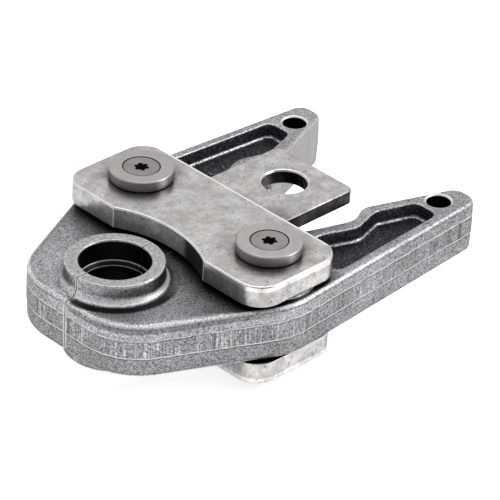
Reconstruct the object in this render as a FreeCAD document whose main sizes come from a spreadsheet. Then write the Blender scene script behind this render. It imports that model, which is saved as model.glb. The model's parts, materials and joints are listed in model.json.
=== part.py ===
import FreeCAD, Part
import math
import os
import Sketcher

# Press tong for pipe fittings, millimetres. X runs to the rear, towards the machine, Z is up, and the
# origin is on the axis of the tool pin, half-way through the tong. The nose and its ring point to -X.
doc = FreeCAD.newDocument("press_tong")

# Two heights or places closer than this count as the same.
NEAR = 1e-3

# Driving sizes: the word that names the cell, its value, and what it measures.
DRIVING = [
    ("pivot_setback", 34.75, "from the tool pin axis forward to the line of the two pivots"),
    ("pivot_span", 56.8, "between the two pivot axes"),
    ("ring_reach", 36.6, "from the pivot line forward to the axis of the press ring"),
    ("overrun", 1.0, "how far joining and cutting shapes run past the faces they meet"),
    ("closing_gap", 0.15, "from the middle plane to the closing face of one lever"),
    ("tool_bore", 14.2, "diameter of the hole for the machine's pin"),
    ("tool_bevel", 0.5, "bevel round the tool pin hole"),
    ("strap_thickness", 7.0, "strap plate at its crossbar"),
    ("strap_width", 88.2, "length of the crossbar from side to side"),
    ("strap_front", 19.2, "from the pivot line forward to the crossbar's front edge"),
    ("strap_rear", 16.4, "from the pivot line back to the crossbar's rear edge"),
    ("strap_round", 8.2, "rounded corners of the crossbar"),
    ("hollow_radius", 40.0, "radius of the hollow in the crossbar's front edge"),
    ("hollow_depth", 5.4, "depth of that hollow"),
    ("tail_thickness", 4.7, "strap plate at its tail"),
    ("tail_width", 34.1, "width of the tail"),
    ("tail_margin", 13.8, "from the tool pin axis back to the tail's end"),
    ("tail_round", 2.6, "rounded corners of the tail"),
    ("strap_bevel", 0.4, "bevel round the outer face of the crossbar"),
    ("hub_thickness", 20.1, "lever at its machined hub"),
    ("hub_diameter", 30.0, "machined hub round the pivot"),
    ("side_play", 0.1, "play between a hub and a strap plate"),
    ("flank_above", 8.5, "forged body of a lever above the middle plane"),
    ("flank_below", 9.4, "forged body of a lever below the middle plane"),
    ("band_above", 3.6, "trimmed band round the forging, above the middle plane"),
    ("band_below", 2.6, "trimmed band below the middle plane"),
    ("draft_above", 1.0, "draft of the forging's upper flanks, degrees"),
    ("draft_below", 2.0, "draft of the lower flanks, degrees"),
    ("edge_round", 1.6, "rounded edges of the forging"),
    ("nose_reach", 20.0, "from the ring axis forward to the nose"),
    ("nose_corner", 22.8, "from the middle plane out to the sharp corner of the nose"),
    ("nose_round", 21.0, "radius at that corner"),
    ("shoulder_lead", 6.0, "from the pivot line forward to the sharp corner of the shoulder"),
    ("shoulder_reach", 18.3, "from the pivot axis out to the sharp corner of the shoulder"),
    ("shoulder_round", 24.0, "radius at that corner"),
    ("arm_bend", 29.5, "from the pivot line back to the bend of the arm's outer edge"),
    ("arm_bend_reach", 15.4, "from the pivot axis out to that bend"),
    ("arm_bend_round", 90.0, "radius at that bend"),
    ("arm_end_margin", 10.8, "from the hole in the arm back to the end of the arm"),
    ("drawn_arm", 82.2, "arm length for which the reaches of bend, cam and stamp are given"),
    ("arm_end_outer", 39.7, "from the middle plane to the outer corner of the arm's end"),
    ("arm_end_inner", 30.0, "from the middle plane to the inner corner of the arm's end"),
    ("arm_end_round", 4.9, "radius at the arm's two end corners"),
    ("cam_crest", 50.5, "from the pivot line back to the crest of the cam"),
    ("cam_crest_offset", 18.6, "from the middle plane to the crest of the cam"),
    ("cam_crest_round", 6.0, "radius at the crest"),
    ("cam_hollow", 43.5, "from the pivot line back to the cam's hollow"),
    ("cam_hollow_offset", 22.6, "from the middle plane to the cam's hollow"),
    ("cam_hollow_round", 8.0, "radius in the hollow"),
    ("cam_start", 27.0, "from the pivot line back to where the cam starts"),
    ("cam_start_offset", 17.2, "from the middle plane to where the cam starts"),
    ("cam_start_round", 12.0, "radius where the cam starts"),
    ("crotch", 11.0, "from the pivot line back to the crotch corner"),
    ("crotch_offset", 4.2, "from the middle plane to the crotch corner"),
    ("crotch_round", 12.0, "radius at the crotch corner"),
    ("closing_end", 1.0, "from the pivot line forward to the end of the closing face"),
    ("track_depth", 0.4, "machined off the forging along the roller track"),
    ("pocket_depth", 4.75, "depth of the pocket in each side of the arm"),
    ("pocket_draft", 9.0, "draft of the pocket's walls, degrees"),
    ("pocket_front", 17.5, "from the pivot line back to the front of the pocket"),
    ("pocket_land", 6.1, "from the rear of the pocket back to the middle of the arm's hole"),
    ("outer_wall", 2.9, "forging left outside the pocket, at its front corner"),
    ("rear_wall", 2.3, "how far the pocket's outer rear corner lies inside the arm's end corner"),
    ("crest_wall", 5.1, "forging left between pocket and cam crest"),
    ("crest_lag", 1.0, "how far the pocket's crest lies behind the cam's"),
    ("hollow_wall", 4.4, "forging left between pocket and cam hollow"),
    ("hollow_lead", 3.0, "how far the pocket's hollow lies ahead of the cam's"),
    ("start_wall", 5.4, "forging left between pocket and the cam's start"),
    ("start_lag", 2.0, "how far the pocket's inner corner lies behind the cam's start"),
    ("end_drop", 1.7, "how far the pocket's rear corner lies inside the arm's end corner"),
    ("pocket_round", 3.2, "rounded corners of the pocket"),
    ("pocket_foot_round", 1.3, "round at the foot of the pocket's walls"),
    ("pocket_rim_round", 0.5, "round at the rim of the pocket"),
    ("arm_hole", 7.8, "diameter of the hole in the arm's end"),
    ("arm_hole_reach", 71.4, "from the pivot line back to that hole"),
    ("arm_hole_wall", 6.084, "from the arm's inner edge out to the middle of that hole"),
    ("arm_hole_bevel", 0.5, "bevel round that hole"),
    ("stamp_reach", 35.5, "from the pivot line back to the forging's round stamp"),
    ("stamp_offset", 31.8, "from the middle plane to the stamp"),
    ("stamp_diameter", 8.6, "outer ring of the stamp"),
    ("stamp_core", 4.6, "inner disc of the stamp"),
    ("stamp_line", 0.6, "breadth of that ring"),
    ("stamp_height", 0.35, "height of the stamp above the pocket floor"),
    ("ring_above", 15.0, "press ring's face above the middle plane"),
    ("ring_below", 15.4, "press ring's face below the middle plane"),
    ("ring_diameter", 30.8, "outside of the press ring"),
    ("ring_foot_round", 2.8, "round at the foot of the press ring"),
    ("ring_entry", 22.3, "diameter of the press contour at the faces"),
    ("rib_diameter", 20.2, "diameter of the two pressing ribs"),
    ("rib_outside", 8.0, "from the middle of the ring to the outer foot of a rib"),
    ("rib_crest", 6.6, "from the middle of the ring to the outer edge of a rib's crest"),
    ("bead_width", 8.4, "width of the bead groove between the ribs"),
    ("bead_diameter", 24.6, "diameter of the bead groove"),
    ("ring_bevel", 0.35, "bevel at the ring's faces"),
    ("pin_diameter", 16.0, "pivot pin"),
    ("pin_play", 0.04, "radial play of the pin in the lever"),
    ("pin_seat_play", 0.02, "radial play of the pin in the strap plates"),
    ("pin_bevel", 0.6, "bevel at the pin's ends"),
    ("pin_recess", 0.15, "how far the pin's ends stay below the strap plates"),
    ("thread_diameter", 6.0, "screw thread"),
    ("thread_bevel", 0.5, "bevel at the screw's tip"),
    ("thread_play", 0.05, "radial play between the plain hole and the screw"),
    ("thread_depth", 14.0, "depth of the threaded hole in the pin"),
    ("disc_diameter", 20.4, "retaining disc"),
    ("disc_thickness", 3.6, "retaining disc"),
    ("disc_bevel", 0.3, "bevel round the disc"),
    ("head_diameter", 11.5, "countersunk head of the screw"),
    ("head_edge", 0.5, "height of the head's cylindrical edge"),
    ("head_play", 0.15, "gap round the head's edge"),
    ("head_recess", 0.1, "how far the head sits below the disc's face"),
    ("screw_length", 14.0, "screw from the top of its head to its end"),
    ("socket_diameter", 5.0, "six-lobed socket across its lobes"),
    ("socket_core", 3.7, "six-lobed socket across its hollows"),
    ("socket_lobe", 1.6, "diameter of one lobe of the socket"),
    ("socket_depth", 2.6, "depth of the socket"),
    ("spring_reach", 15.5, "from the pivot line back to the closing spring"),
    ("spring_diameter", 8.0, "outside of the closing spring"),
    ("spring_wire", 1.2, "wire of the spring"),
    ("spring_turns", 7.0, "turns of the spring"),
    ("seat_depth", 12.0, "from the middle plane to the bottom of a spring seat"),
    ("seat_play", 0.6, "radial play of the spring in its seat"),
    ("seat_gap", 0.1, "gap between the spring's end and its seat"),
]

# Sizes and places worked out from the driving ones.
DERIVED = [
    ("pivot_x", "-pivot_setback"),
    ("pivot_y", "pivot_span / 2"),
    ("ring_x", "pivot_x - ring_reach"),
    ("tool_radius", "tool_bore / 2"),
    ("strap_inner_z", "hub_thickness / 2 + side_play"),
    ("strap_outer_z", "strap_inner_z + strap_thickness"),
    ("strap_side", "strap_width / 2"),
    ("strap_front_x", "pivot_x - strap_front"),
    ("strap_rear_x", "pivot_x + strap_rear"),
    ("tail_side", "tail_width / 2"),
    ("tail_face_z", "strap_inner_z + tail_thickness"),
    ("tail_root_x", "strap_rear_x - overrun"),
    ("tail_end_x", "tail_margin"),
    ("hollow_x", "strap_front_x + hollow_depth - hollow_radius"),
    ("pin_seat_radius", "pin_diameter / 2 + pin_seat_play"),
    ("ring_radius", "ring_diameter / 2"),
    ("nose_x", "ring_x - nose_reach"),
    ("overrun_y", "-ring_radius - edge_round"),
    ("shoulder_x", "pivot_x - shoulder_lead"),
    ("shoulder_y", "pivot_y + shoulder_reach"),
    ("arm_length", "arm_hole_reach + arm_end_margin"),
    ("arm_stretch", "arm_length / drawn_arm"),
    ("arm_bend_x", "pivot_x + arm_bend * arm_stretch"),
    ("arm_bend_y", "pivot_y + arm_bend_reach"),
    ("arm_end_x", "pivot_x + arm_length"),
    ("arm_outer_y", "arm_end_outer"),
    ("arm_inner_y", "arm_end_inner"),
    ("cam_crest_x", "pivot_x + cam_crest * arm_stretch"),
    ("cam_hollow_x", "pivot_x + cam_hollow * arm_stretch"),
    ("cam_start_x", "pivot_x + cam_start * arm_stretch"),
    ("crotch_x", "pivot_x + crotch"),
    ("closing_end_x", "pivot_x - closing_end"),
    ("track_slope", "(arm_end_inner - cam_crest_offset) / (arm_end_x - cam_crest_x)"),
    ("track_start_x", "cam_crest_x + cam_crest_round / 2"),
    ("track_start_y", "cam_crest_offset + track_slope * cam_crest_round / 2 + track_depth"),
    ("track_stop_x", "arm_end_x + overrun"),
    ("track_stop_y", "arm_end_inner + track_slope * overrun + track_depth"),
    ("cut_front_x", "nose_x - overrun"),
    ("cut_side_y", "overrun_y - overrun"),
    ("hub_radius", "hub_diameter / 2"),
    ("hub_half", "hub_thickness / 2"),
    ("hub_bore_radius", "pin_diameter / 2 + pin_play"),
    ("pocket_floor_z", "flank_above - pocket_depth"),
    ("lower_floor_z", "flank_below - pocket_depth"),
    ("pocket_front_x", "pivot_x + pocket_front"),
    ("pocket_rear_x", "pivot_x + arm_hole_reach - pocket_land"),
    ("pocket_outer_front_y", "arm_bend_y - outer_wall"),
    ("pocket_outer_rear_y", "arm_end_outer - rear_wall"),
    ("pocket_start_x", "cam_start_x + start_lag"),
    ("pocket_start_y", "cam_start_offset + start_wall"),
    ("pocket_hollow_x", "cam_hollow_x - hollow_lead"),
    ("pocket_hollow_y", "cam_hollow_offset + hollow_wall"),
    ("pocket_crest_x", "cam_crest_x + crest_lag"),
    ("pocket_crest_y", "cam_crest_offset + crest_wall"),
    ("pocket_end_y", "arm_end_inner - end_drop"),
    ("arm_hole_x", "pivot_x + arm_hole_reach"),
    ("arm_hole_y", "arm_end_inner - track_slope * arm_end_margin + arm_hole_wall"),
    ("arm_hole_radius", "arm_hole / 2"),
    ("stamp_x", "pivot_x + stamp_reach * arm_stretch"),
    ("stamp_radius", "stamp_diameter / 2"),
    ("stamp_inside", "stamp_radius - stamp_line"),
    ("stamp_core_radius", "stamp_core / 2"),
    ("entry_radius", "ring_entry / 2"),
    ("rib_radius", "rib_diameter / 2"),
    ("bead_radius", "bead_diameter / 2"),
    ("bead_half", "bead_width / 2"),
    ("bead_floor_half", "bead_half - (bead_radius - rib_radius) / 2"),
    ("entry_z", "ring_above - ring_bevel"),
    ("ring_over_z", "ring_above + overrun"),
    ("lower_entry_z", "ring_below - ring_bevel"),
    ("ring_under_z", "ring_below + overrun"),
    ("mouth_radius", "entry_radius + ring_bevel + overrun"),
    ("pin_radius", "pin_diameter / 2"),
    ("pin_half", "strap_outer_z - pin_recess"),
    ("pin_body_z", "pin_half - pin_bevel"),
    ("pin_end_radius", "pin_radius - pin_bevel"),
    ("pin_core_z", "pin_half - thread_depth"),
    ("thread_radius", "thread_diameter / 2"),
    ("thread_hole_radius", "thread_radius + thread_play"),
    ("disc_radius", "disc_diameter / 2"),
    ("head_radius", "head_diameter / 2"),
    ("head_hole_radius", "head_radius + head_play"),
    ("disc_face_radius", "disc_radius - disc_bevel"),
    ("disc_shoulder_z", "disc_thickness - disc_bevel"),
    ("head_top_z", "disc_thickness - head_recess"),
    ("head_rim_z", "head_top_z - head_edge"),
    ("cone_foot_z", "head_rim_z - head_radius + thread_radius"),
    ("sink_rim_z", "head_rim_z + head_play"),
    ("sink_foot_z", "cone_foot_z + thread_play"),
    ("screw_end_z", "head_top_z - screw_length"),
    ("screw_tip_z", "screw_end_z + thread_bevel"),
    ("screw_tip_radius", "thread_radius - thread_bevel"),
    ("socket_core_radius", "socket_core / 2"),
    ("lobe_radius", "socket_lobe / 2"),
    ("lobe_place", "socket_diameter / 2 - lobe_radius"),
    ("spring_x", "pivot_x + spring_reach"),
    ("seat_radius", "spring_diameter / 2 + seat_play"),
    ("spring_radius", "(spring_diameter - spring_wire) / 2"),
    ("wire_radius", "spring_wire / 2"),
    ("spring_half", "seat_depth - seat_gap - wire_radius"),
    ("spring_length", "2 * spring_half"),
    ("spring_pitch", "spring_length / spring_turns"),
]


def fill_sheet():
    """Write every size into a spreadsheet cell that carries its name."""
    sheet = doc.addObject("Spreadsheet::Sheet", "Sizes")
    for row, (word, value, meaning) in enumerate(DRIVING, start=1):
        sheet.set(f"A{row}", meaning)
        sheet.set(f"B{row}", str(value))
        sheet.setAlias(f"B{row}", word)
    first = len(DRIVING) + 1
    for row, (word, formula) in enumerate(DERIVED, start=first):
        sheet.set(f"A{row}", word.replace("_", " "))
        sheet.setAlias(f"B{row}", word)
    doc.recompute()
    for row, (word, formula) in enumerate(DERIVED, start=first):
        sheet.set(f"B{row}", "=" + formula)
    doc.recompute()
    return sheet


SIZES = fill_sheet()


def size(word):
    """Value of a named size; a leading minus turns it round."""
    if word.startswith("-"):
        return -SIZES.get(word[1:])
    return SIZES.get(word)


def bind(thing, path, word):
    """Tie one property of an object to a named size."""
    if word.startswith("-"):
        thing.setExpression(path, "-Sizes." + word[1:])
    else:
        thing.setExpression(path, "Sizes." + word)


def new_body(label):
    body = doc.addObject("PartDesign::Body", label)
    body.Label = label
    return body


def origin_part(body, role):
    return next(item for item in body.Origin.OriginFeatures if item.Role == role)


def new_sketch(body, name, plane="XY_Plane", lift=None, shift=None):
    """Sketch on one of the body's own planes, raised by the size lift and moved along by shift."""
    sketch = body.newObject("Sketcher::SketchObject", name)
    sketch.AttachmentSupport = [(origin_part(body, plane), "")]
    sketch.MapMode = "FlatFace"
    if lift:
        bind(sketch, ".AttachmentOffset.Base.z", lift)
    if shift:
        bind(sketch, ".AttachmentOffset.Base.x", shift)
    return sketch


def dimension(sketch, kind, parts, value, word):
    """Add a dimension that follows a named size."""
    index = sketch.addConstraint(Sketcher.Constraint(kind, *parts, value))
    sketch.renameConstraint(index, f"size_{index}")
    bind(sketch, f".Constraints.size_{index}", word)


def place_point(sketch, item, end, x_word, y_word):
    """Hold a point of the sketch at two named distances from its origin; None means zero."""
    for kind, word, axis in (("DistanceX", x_word, -2), ("DistanceY", y_word, -1)):
        if word is None:
            sketch.addConstraint(Sketcher.Constraint("PointOnObject", item, end, axis))
        else:
            dimension(sketch, kind, (-1, 1, item, end), size(word), word)


def circle(sketch, radius_word, x_word=None, y_word=None):
    x = size(x_word) if x_word else 0.0
    y = size(y_word) if y_word else 0.0
    centre = FreeCAD.Vector(x, y, 0)
    item = sketch.addGeometry(Part.Circle(centre, FreeCAD.Vector(0, 0, 1), size(radius_word)))
    dimension(sketch, "Radius", (item,), size(radius_word), radius_word)
    if x_word is None and y_word is None:
        sketch.addConstraint(Sketcher.Constraint("Coincident", item, 3, -1, 1))
    else:
        place_point(sketch, item, 3, x_word, y_word)


def outline(sketch, corners):
    """Closed outline through sharp corners (x word, y word, radius word or None), rounded by arcs.

    Each sharp corner is a construction point held by its two sizes; the sides run through the
    points and the arcs are tangent to both sides.
    """
    points = []
    for x_word, y_word, _ in corners:
        x = size(x_word) if x_word else 0.0
        y = size(y_word) if y_word else 0.0
        points.append(FreeCAD.Vector(x, y, 0))
    count = len(points)
    starts = [None] * count
    ends = [None] * count
    arcs = [None] * count
    turns_left = [True] * count
    for i, (_, _, radius_word) in enumerate(corners):
        corner = points[i]
        if not radius_word:
            starts[i] = corner
            ends[i] = corner
            continue
        back = (points[i - 1] - corner).normalize()
        ahead = (points[(i + 1) % count] - corner).normalize()
        half = back.getAngle(ahead) / 2
        radius = size(radius_word)
        reach = radius / math.tan(half)
        ends[i] = corner + back * reach
        starts[i] = corner + ahead * reach
        centre = corner + (back + ahead).normalize() * (radius / math.sin(half))
        left = back.cross(ahead).z < 0
        first, last = (ends[i], starts[i]) if left else (starts[i], ends[i])
        ring = Part.Circle(centre, FreeCAD.Vector(0, 0, 1), radius)
        arcs[i] = Part.ArcOfCircle(ring, ring.parameter(first), ring.parameter(last))
        turns_left[i] = left
    lines = []
    for i in range(count):
        lines.append(sketch.addGeometry(Part.LineSegment(starts[i], ends[(i + 1) % count])))
    for i, (x_word, y_word, radius_word) in enumerate(corners):
        before = lines[i - 1]
        after = lines[i]
        if arcs[i] is None:
            sketch.addConstraint(Sketcher.Constraint("Coincident", before, 2, after, 1))
            place_point(sketch, after, 1, x_word, y_word)
            continue
        arc = sketch.addGeometry(arcs[i])
        first, last = (1, 2) if turns_left[i] else (2, 1)
        sketch.addConstraint(Sketcher.Constraint("Tangent", before, 2, arc, first))
        sketch.addConstraint(Sketcher.Constraint("Tangent", arc, last, after, 1))
        dimension(sketch, "Radius", (arc,), size(radius_word), radius_word)
        point = sketch.addGeometry(Part.Point(points[i]), True)
        sketch.addConstraint(Sketcher.Constraint("PointOnObject", point, 1, before))
        sketch.addConstraint(Sketcher.Constraint("PointOnObject", point, 1, after))
        place_point(sketch, point, 1, x_word, y_word)


def pad(body, name, sketch, above, below=None, drafts=None):
    """Pad up from the sketch, and down as well when below is given; drafts names both angles."""
    feature = body.newObject("PartDesign::Pad", name)
    feature.Profile = sketch
    feature.SideType = "Two sides" if below else "One side"
    bind(feature, "Length", above)
    if below:
        bind(feature, "Length2", below)
    if drafts:
        bind(feature, "TaperAngle", drafts[0])
        bind(feature, "TaperAngle2", drafts[1])
    doc.recompute()
    return feature


def pocket(body, name, sketch, length_word=None, draft_word=None, upwards=False):
    """Pocket of the given depth, or right through both ways when no depth is given."""
    before = body.Shape.Volume
    feature = body.newObject("PartDesign::Pocket", name)
    feature.Profile = sketch
    feature.Reversed = upwards
    if length_word:
        bind(feature, "Length", length_word)
    else:
        feature.Type = "ThroughAll"
        feature.SideType = "Symmetric"
    if draft_word:
        bind(feature, "TaperAngle", draft_word)
    doc.recompute()
    if body.Shape.Volume > before - 1e-6:
        raise RuntimeError(f"{body.Label}: {name} cuts nothing")
    return feature


def edges_of(feature, wanted):
    """Names of the edges for which wanted(edge) is true."""
    names = []
    for number, edge in enumerate(feature.Shape.Edges, start=1):
        if wanted(edge):
            names.append(f"Edge{number}")
    return names


def flat_at(edge, *words):
    """True for an edge that lies in the level plane at one of the named heights."""
    box = edge.BoundBox
    return any(abs(box.ZMin - size(word)) < NEAR and abs(box.ZMax - size(word)) < NEAR for word in words)


def middle(edge):
    """Point half-way along an edge."""
    return edge.valueAt((edge.FirstParameter + edge.LastParameter) / 2)


def over(edge, rim):
    """True for an edge that lies straight above or below a sketch's line, or on it."""
    point = middle(edge)
    point.z = rim.BoundBox.ZMin
    return Part.Vertex(point).distToShape(rim)[0] < NEAR


def dress(body, kind, name, base, wanted, word):
    """Fillet or chamfer the wanted edges by a named size."""
    names = edges_of(base, wanted)
    if not names:
        raise RuntimeError(f"{body.Label}: {name} finds no edge")
    feature = body.newObject(f"PartDesign::{kind}", name)
    feature.Base = (base, names)
    bind(feature, "Radius" if kind == "Fillet" else "Size", word)
    doc.recompute()
    return feature


def revolved(body, name, sketch, cut=False):
    """Turn a profile round the sketch's own upright axis."""
    feature = body.newObject("PartDesign::Groove" if cut else "PartDesign::Revolution", name)
    feature.Profile = sketch
    feature.ReferenceAxis = (sketch, ["V_Axis"])
    feature.Angle = 360
    doc.recompute()
    return feature


FLANK_FACES = ("flank_above", "-flank_below")

LEVER_CORNERS = [
    ("nose_x", "overrun_y", None),
    ("nose_x", "nose_corner", "nose_round"),
    ("shoulder_x", "shoulder_y", "shoulder_round"),
    ("arm_bend_x", "arm_bend_y", "arm_bend_round"),
    ("arm_end_x", "arm_outer_y", "arm_end_round"),
    ("arm_end_x", "arm_inner_y", "arm_end_round"),
    ("cam_crest_x", "cam_crest_offset", "cam_crest_round"),
    ("cam_hollow_x", "cam_hollow_offset", "cam_hollow_round"),
    ("cam_start_x", "cam_start_offset", "cam_start_round"),
    ("crotch_x", "crotch_offset", "crotch_round"),
    ("closing_end_x", "closing_gap", None),
    ("closing_end_x", "overrun_y", None),
]

POCKET_CORNERS = [
    ("pocket_front_x", "pocket_outer_front_y", "pocket_round"),
    ("pocket_rear_x", "pocket_outer_rear_y", "pocket_round"),
    ("pocket_rear_x", "pocket_end_y", "pocket_round"),
    ("pocket_crest_x", "pocket_crest_y", "cam_crest_round"),
    ("pocket_hollow_x", "pocket_hollow_y", "cam_hollow_round"),
    ("pocket_start_x", "pocket_start_y", "pocket_round"),
    ("pocket_front_x", "pocket_start_y", "pocket_round"),
]


def forged_blank(body):
    """Drafted flanks from the parting plane both ways, a plain band round the rim, rounded edges."""
    rim = new_sketch(body, "LeverOutline")
    outline(rim, LEVER_CORNERS)
    flanks = pad(body, "Flanks", rim, "flank_above", "flank_below", ("-draft_above", "-draft_below"))
    dress(body, "Fillet", "RoundedRim", flanks, lambda edge: flat_at(edge, *FLANK_FACES), "edge_round")
    band = new_sketch(body, "BandOutline")
    outline(band, LEVER_CORNERS)
    return pad(body, "TrimBand", band, "band_above", "band_below")


def add_hub(body):
    """Machined hub that turns between the strap plates, proud of both sides."""
    sketch = new_sketch(body, "HubCircle")
    circle(sketch, "hub_radius", "pivot_x", "pivot_y")
    return pad(body, "Hub", sketch, "hub_half", "hub_half")


def add_press_ring(body):
    """Boss of the press ring, proud of both sides, with a round at its foot and bevelled faces."""
    sketch = new_sketch(body, "RingCircle")
    circle(sketch, "ring_radius", "ring_x")
    boss = pad(body, "RingBoss", sketch, "ring_above", "ring_below")
    rim = sketch.Shape
    foot = dress(
        body, "Fillet", "RingFoot", boss,
        lambda edge: flat_at(edge, *FLANK_FACES) and over(edge, rim) and middle(edge).y > 0,
        "ring_foot_round")
    return dress(
        body, "Chamfer", "RingBevel", foot,
        lambda edge: flat_at(edge, "ring_above", "-ring_below") and over(edge, rim), "ring_bevel")


def cut_arm_pockets(body):
    """Drafted pocket in both sides of the arm, rounded at its foot and its rim."""
    upper = new_sketch(body, "UpperPocketOutline", lift="flank_above")
    outline(upper, POCKET_CORNERS)
    pocket(body, "UpperPocket", upper, "pocket_depth", "-pocket_draft")
    lower = new_sketch(body, "LowerPocketOutline", lift="-flank_below")
    outline(lower, POCKET_CORNERS)
    both = pocket(body, "LowerPocket", lower, "pocket_depth", "-pocket_draft", upwards=True)
    foot = dress(
        body, "Fillet", "PocketFoot", both,
        lambda edge: flat_at(edge, "pocket_floor_z", "-lower_floor_z"), "pocket_foot_round")
    rim = upper.Shape
    return dress(
        body, "Fillet", "PocketRim", foot,
        lambda edge: flat_at(edge, *FLANK_FACES) and over(edge, rim), "pocket_rim_round")


def add_stamp(body):
    """Plain raised ring and disc that the die leaves on the floor of the upper pocket."""
    sketch = new_sketch(body, "StampCircles", lift="pocket_floor_z")
    for radius_word in ("stamp_radius", "stamp_inside"):
        circle(sketch, radius_word, "stamp_x", "stamp_offset")
    pad(body, "StampRing", sketch, "stamp_height")
    core = new_sketch(body, "StampCore", lift="pocket_floor_z")
    circle(core, "stamp_core_radius", "stamp_x", "stamp_offset")
    return pad(body, "StampDisc", core, "stamp_height")


def drill(body, name, radius_word, x_word, y_word, bevel_word, face_words):
    """Round hole right through, bevelled where it meets the faces at the named heights."""
    sketch = new_sketch(body, name + "Circle")
    circle(sketch, radius_word, x_word, y_word)
    hole = pocket(body, name, sketch)
    rim = sketch.Shape
    return dress(
        body, "Chamfer", name + "Bevel", hole,
        lambda edge: flat_at(edge, *face_words) and over(edge, rim), bevel_word)


def cut_press_contour(body):
    """Stepped bore of the press ring: plain entries, two pressing ribs and the bead groove between."""
    profile = new_sketch(body, "ContourProfile", plane="XZ_Plane", shift="ring_x")
    outline(profile, [
        ("bead_radius", "bead_floor_half", None),
        ("rib_radius", "bead_half", None),
        ("rib_radius", "rib_crest", None),
        ("entry_radius", "rib_outside", None),
        ("entry_radius", "entry_z", None),
        ("mouth_radius", "ring_over_z", None),
        (None, "ring_over_z", None),
        (None, "-ring_under_z", None),
        ("mouth_radius", "-ring_under_z", None),
        ("entry_radius", "-lower_entry_z", None),
        ("entry_radius", "-rib_outside", None),
        ("rib_radius", "-rib_crest", None),
        ("rib_radius", "-bead_half", None),
        ("bead_radius", "-bead_floor_half", None),
    ])
    return revolved(body, "PressContour", profile, cut=True)


def cut_closing_face(body):
    """Everything past the closing face comes off, ring and all, so that two levers meet flat."""
    sketch = new_sketch(body, "ClosingCut")
    outline(sketch, [
        ("cut_front_x", "closing_gap", None),
        ("cut_front_x", "cut_side_y", None),
        ("crotch_x", "cut_side_y", None),
        ("crotch_x", "closing_gap", None),
    ])
    return pocket(body, "ClosingFace", sketch)


def cut_roller_track(body):
    """Flat machined along the inside of the arm, from the crest of the cam to the end."""
    sketch = new_sketch(body, "TrackCut")
    outline(sketch, [
        ("track_start_x", "crotch_offset", None),
        ("track_stop_x", "crotch_offset", None),
        ("track_stop_x", "track_stop_y", None),
        ("track_start_x", "track_start_y", None),
    ])
    return pocket(body, "RollerTrack", sketch)


def cut_spring_seat(body):
    """Round blind seat for the closing spring, sunk into the crotch from the middle plane."""
    sketch = new_sketch(body, "SeatCircle", plane="XZ_Plane")
    circle(sketch, "seat_radius", "spring_x")
    return pocket(body, "SpringSeat", sketch, "seat_depth")


def make_jaw(label, stamped):
    """One forged lever, on the left of the tong."""
    body = new_body(label)
    forged_blank(body)
    add_press_ring(body)
    add_hub(body)
    cut_arm_pockets(body)
    if stamped:
        add_stamp(body)
    drill(body, "ArmHole", "arm_hole_radius", "arm_hole_x", "arm_hole_y", "arm_hole_bevel", FLANK_FACES)
    drill(body, "PivotBore", "hub_bore_radius", "pivot_x", "pivot_y", "pin_bevel", ("hub_half", "-hub_half"))
    cut_press_contour(body)
    cut_closing_face(body)
    cut_roller_track(body)
    cut_spring_seat(body)
    return body


def mirror_across(body, label):
    """The mirrored piece, on the other side of the XZ plane."""
    piece = doc.addObject("Part::Mirroring", label)
    piece.Label = label
    piece.Source = body
    piece.Normal = FreeCAD.Vector(0, 1, 0)
    doc.recompute()
    return piece


def make_strap(label, turned):
    """T-shaped strap plate: full crossbar over the pivots, thinner tail for the machine's pin."""
    body = new_body(label)
    bar = new_sketch(body, "CrossbarOutline", lift="strap_inner_z")
    outline(bar, [
        ("strap_front_x", "-strap_side", "strap_round"),
        ("strap_rear_x", "-strap_side", "strap_round"),
        ("strap_rear_x", "strap_side", "strap_round"),
        ("strap_front_x", "strap_side", "strap_round"),
    ])
    pad(body, "Crossbar", bar, "strap_thickness")
    hollow = new_sketch(body, "HollowCircle", lift="strap_inner_z")
    circle(hollow, "hollow_radius", "hollow_x")
    hollowed = pocket(body, "FrontHollow", hollow)
    dress(
        body, "Chamfer", "CrossbarBevel", hollowed,
        lambda edge: flat_at(edge, "strap_outer_z"), "strap_bevel")
    tail = new_sketch(body, "TailOutline", lift="strap_inner_z")
    outline(tail, [
        ("tail_root_x", "-tail_side", None),
        ("tail_end_x", "-tail_side", "tail_round"),
        ("tail_end_x", "tail_side", "tail_round"),
        ("tail_root_x", "tail_side", None),
    ])
    tailed = pad(body, "Tail", tail, "tail_thickness")
    step_x = size("strap_rear_x")
    dress(
        body, "Chamfer", "TailBevel", tailed,
        lambda edge: flat_at(edge, "tail_face_z") and middle(edge).x > step_x + NEAR, "strap_bevel")
    pins = new_sketch(body, "PinSeatCircles", lift="strap_inner_z")
    for y_word in ("pivot_y", "-pivot_y"):
        circle(pins, "pin_seat_radius", "pivot_x", y_word)
    pocket(body, "PinSeats", pins)
    tool = new_sketch(body, "ToolBoreCircle", lift="strap_inner_z")
    circle(tool, "tool_radius")
    bored = pocket(body, "ToolBore", tool)
    rim = tool.Shape
    dress(
        body, "Chamfer", "ToolBoreBevel", bored,
        lambda edge: flat_at(edge, "tail_face_z") and over(edge, rim), "tool_bevel")
    if turned:
        turn_over(body)
    return body


def make_pin(label, y_word):
    """Pivot pin with a threaded hole in each end."""
    body = new_body(label)
    profile = new_sketch(body, "PinProfile", plane="XZ_Plane")
    upper = [
        ("pin_radius", "pin_body_z", None),
        ("pin_end_radius", "pin_half", None),
        ("thread_hole_radius", "pin_half", None),
        ("thread_hole_radius", "pin_core_z", None),
        (None, "pin_core_z", None),
    ]
    lower = [(x_word, "-" + z_word, None) for x_word, z_word, _ in reversed(upper)]
    outline(profile, upper + lower)
    revolved(body, "Pin", profile)
    seat(body, y_word)
    return body


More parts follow.
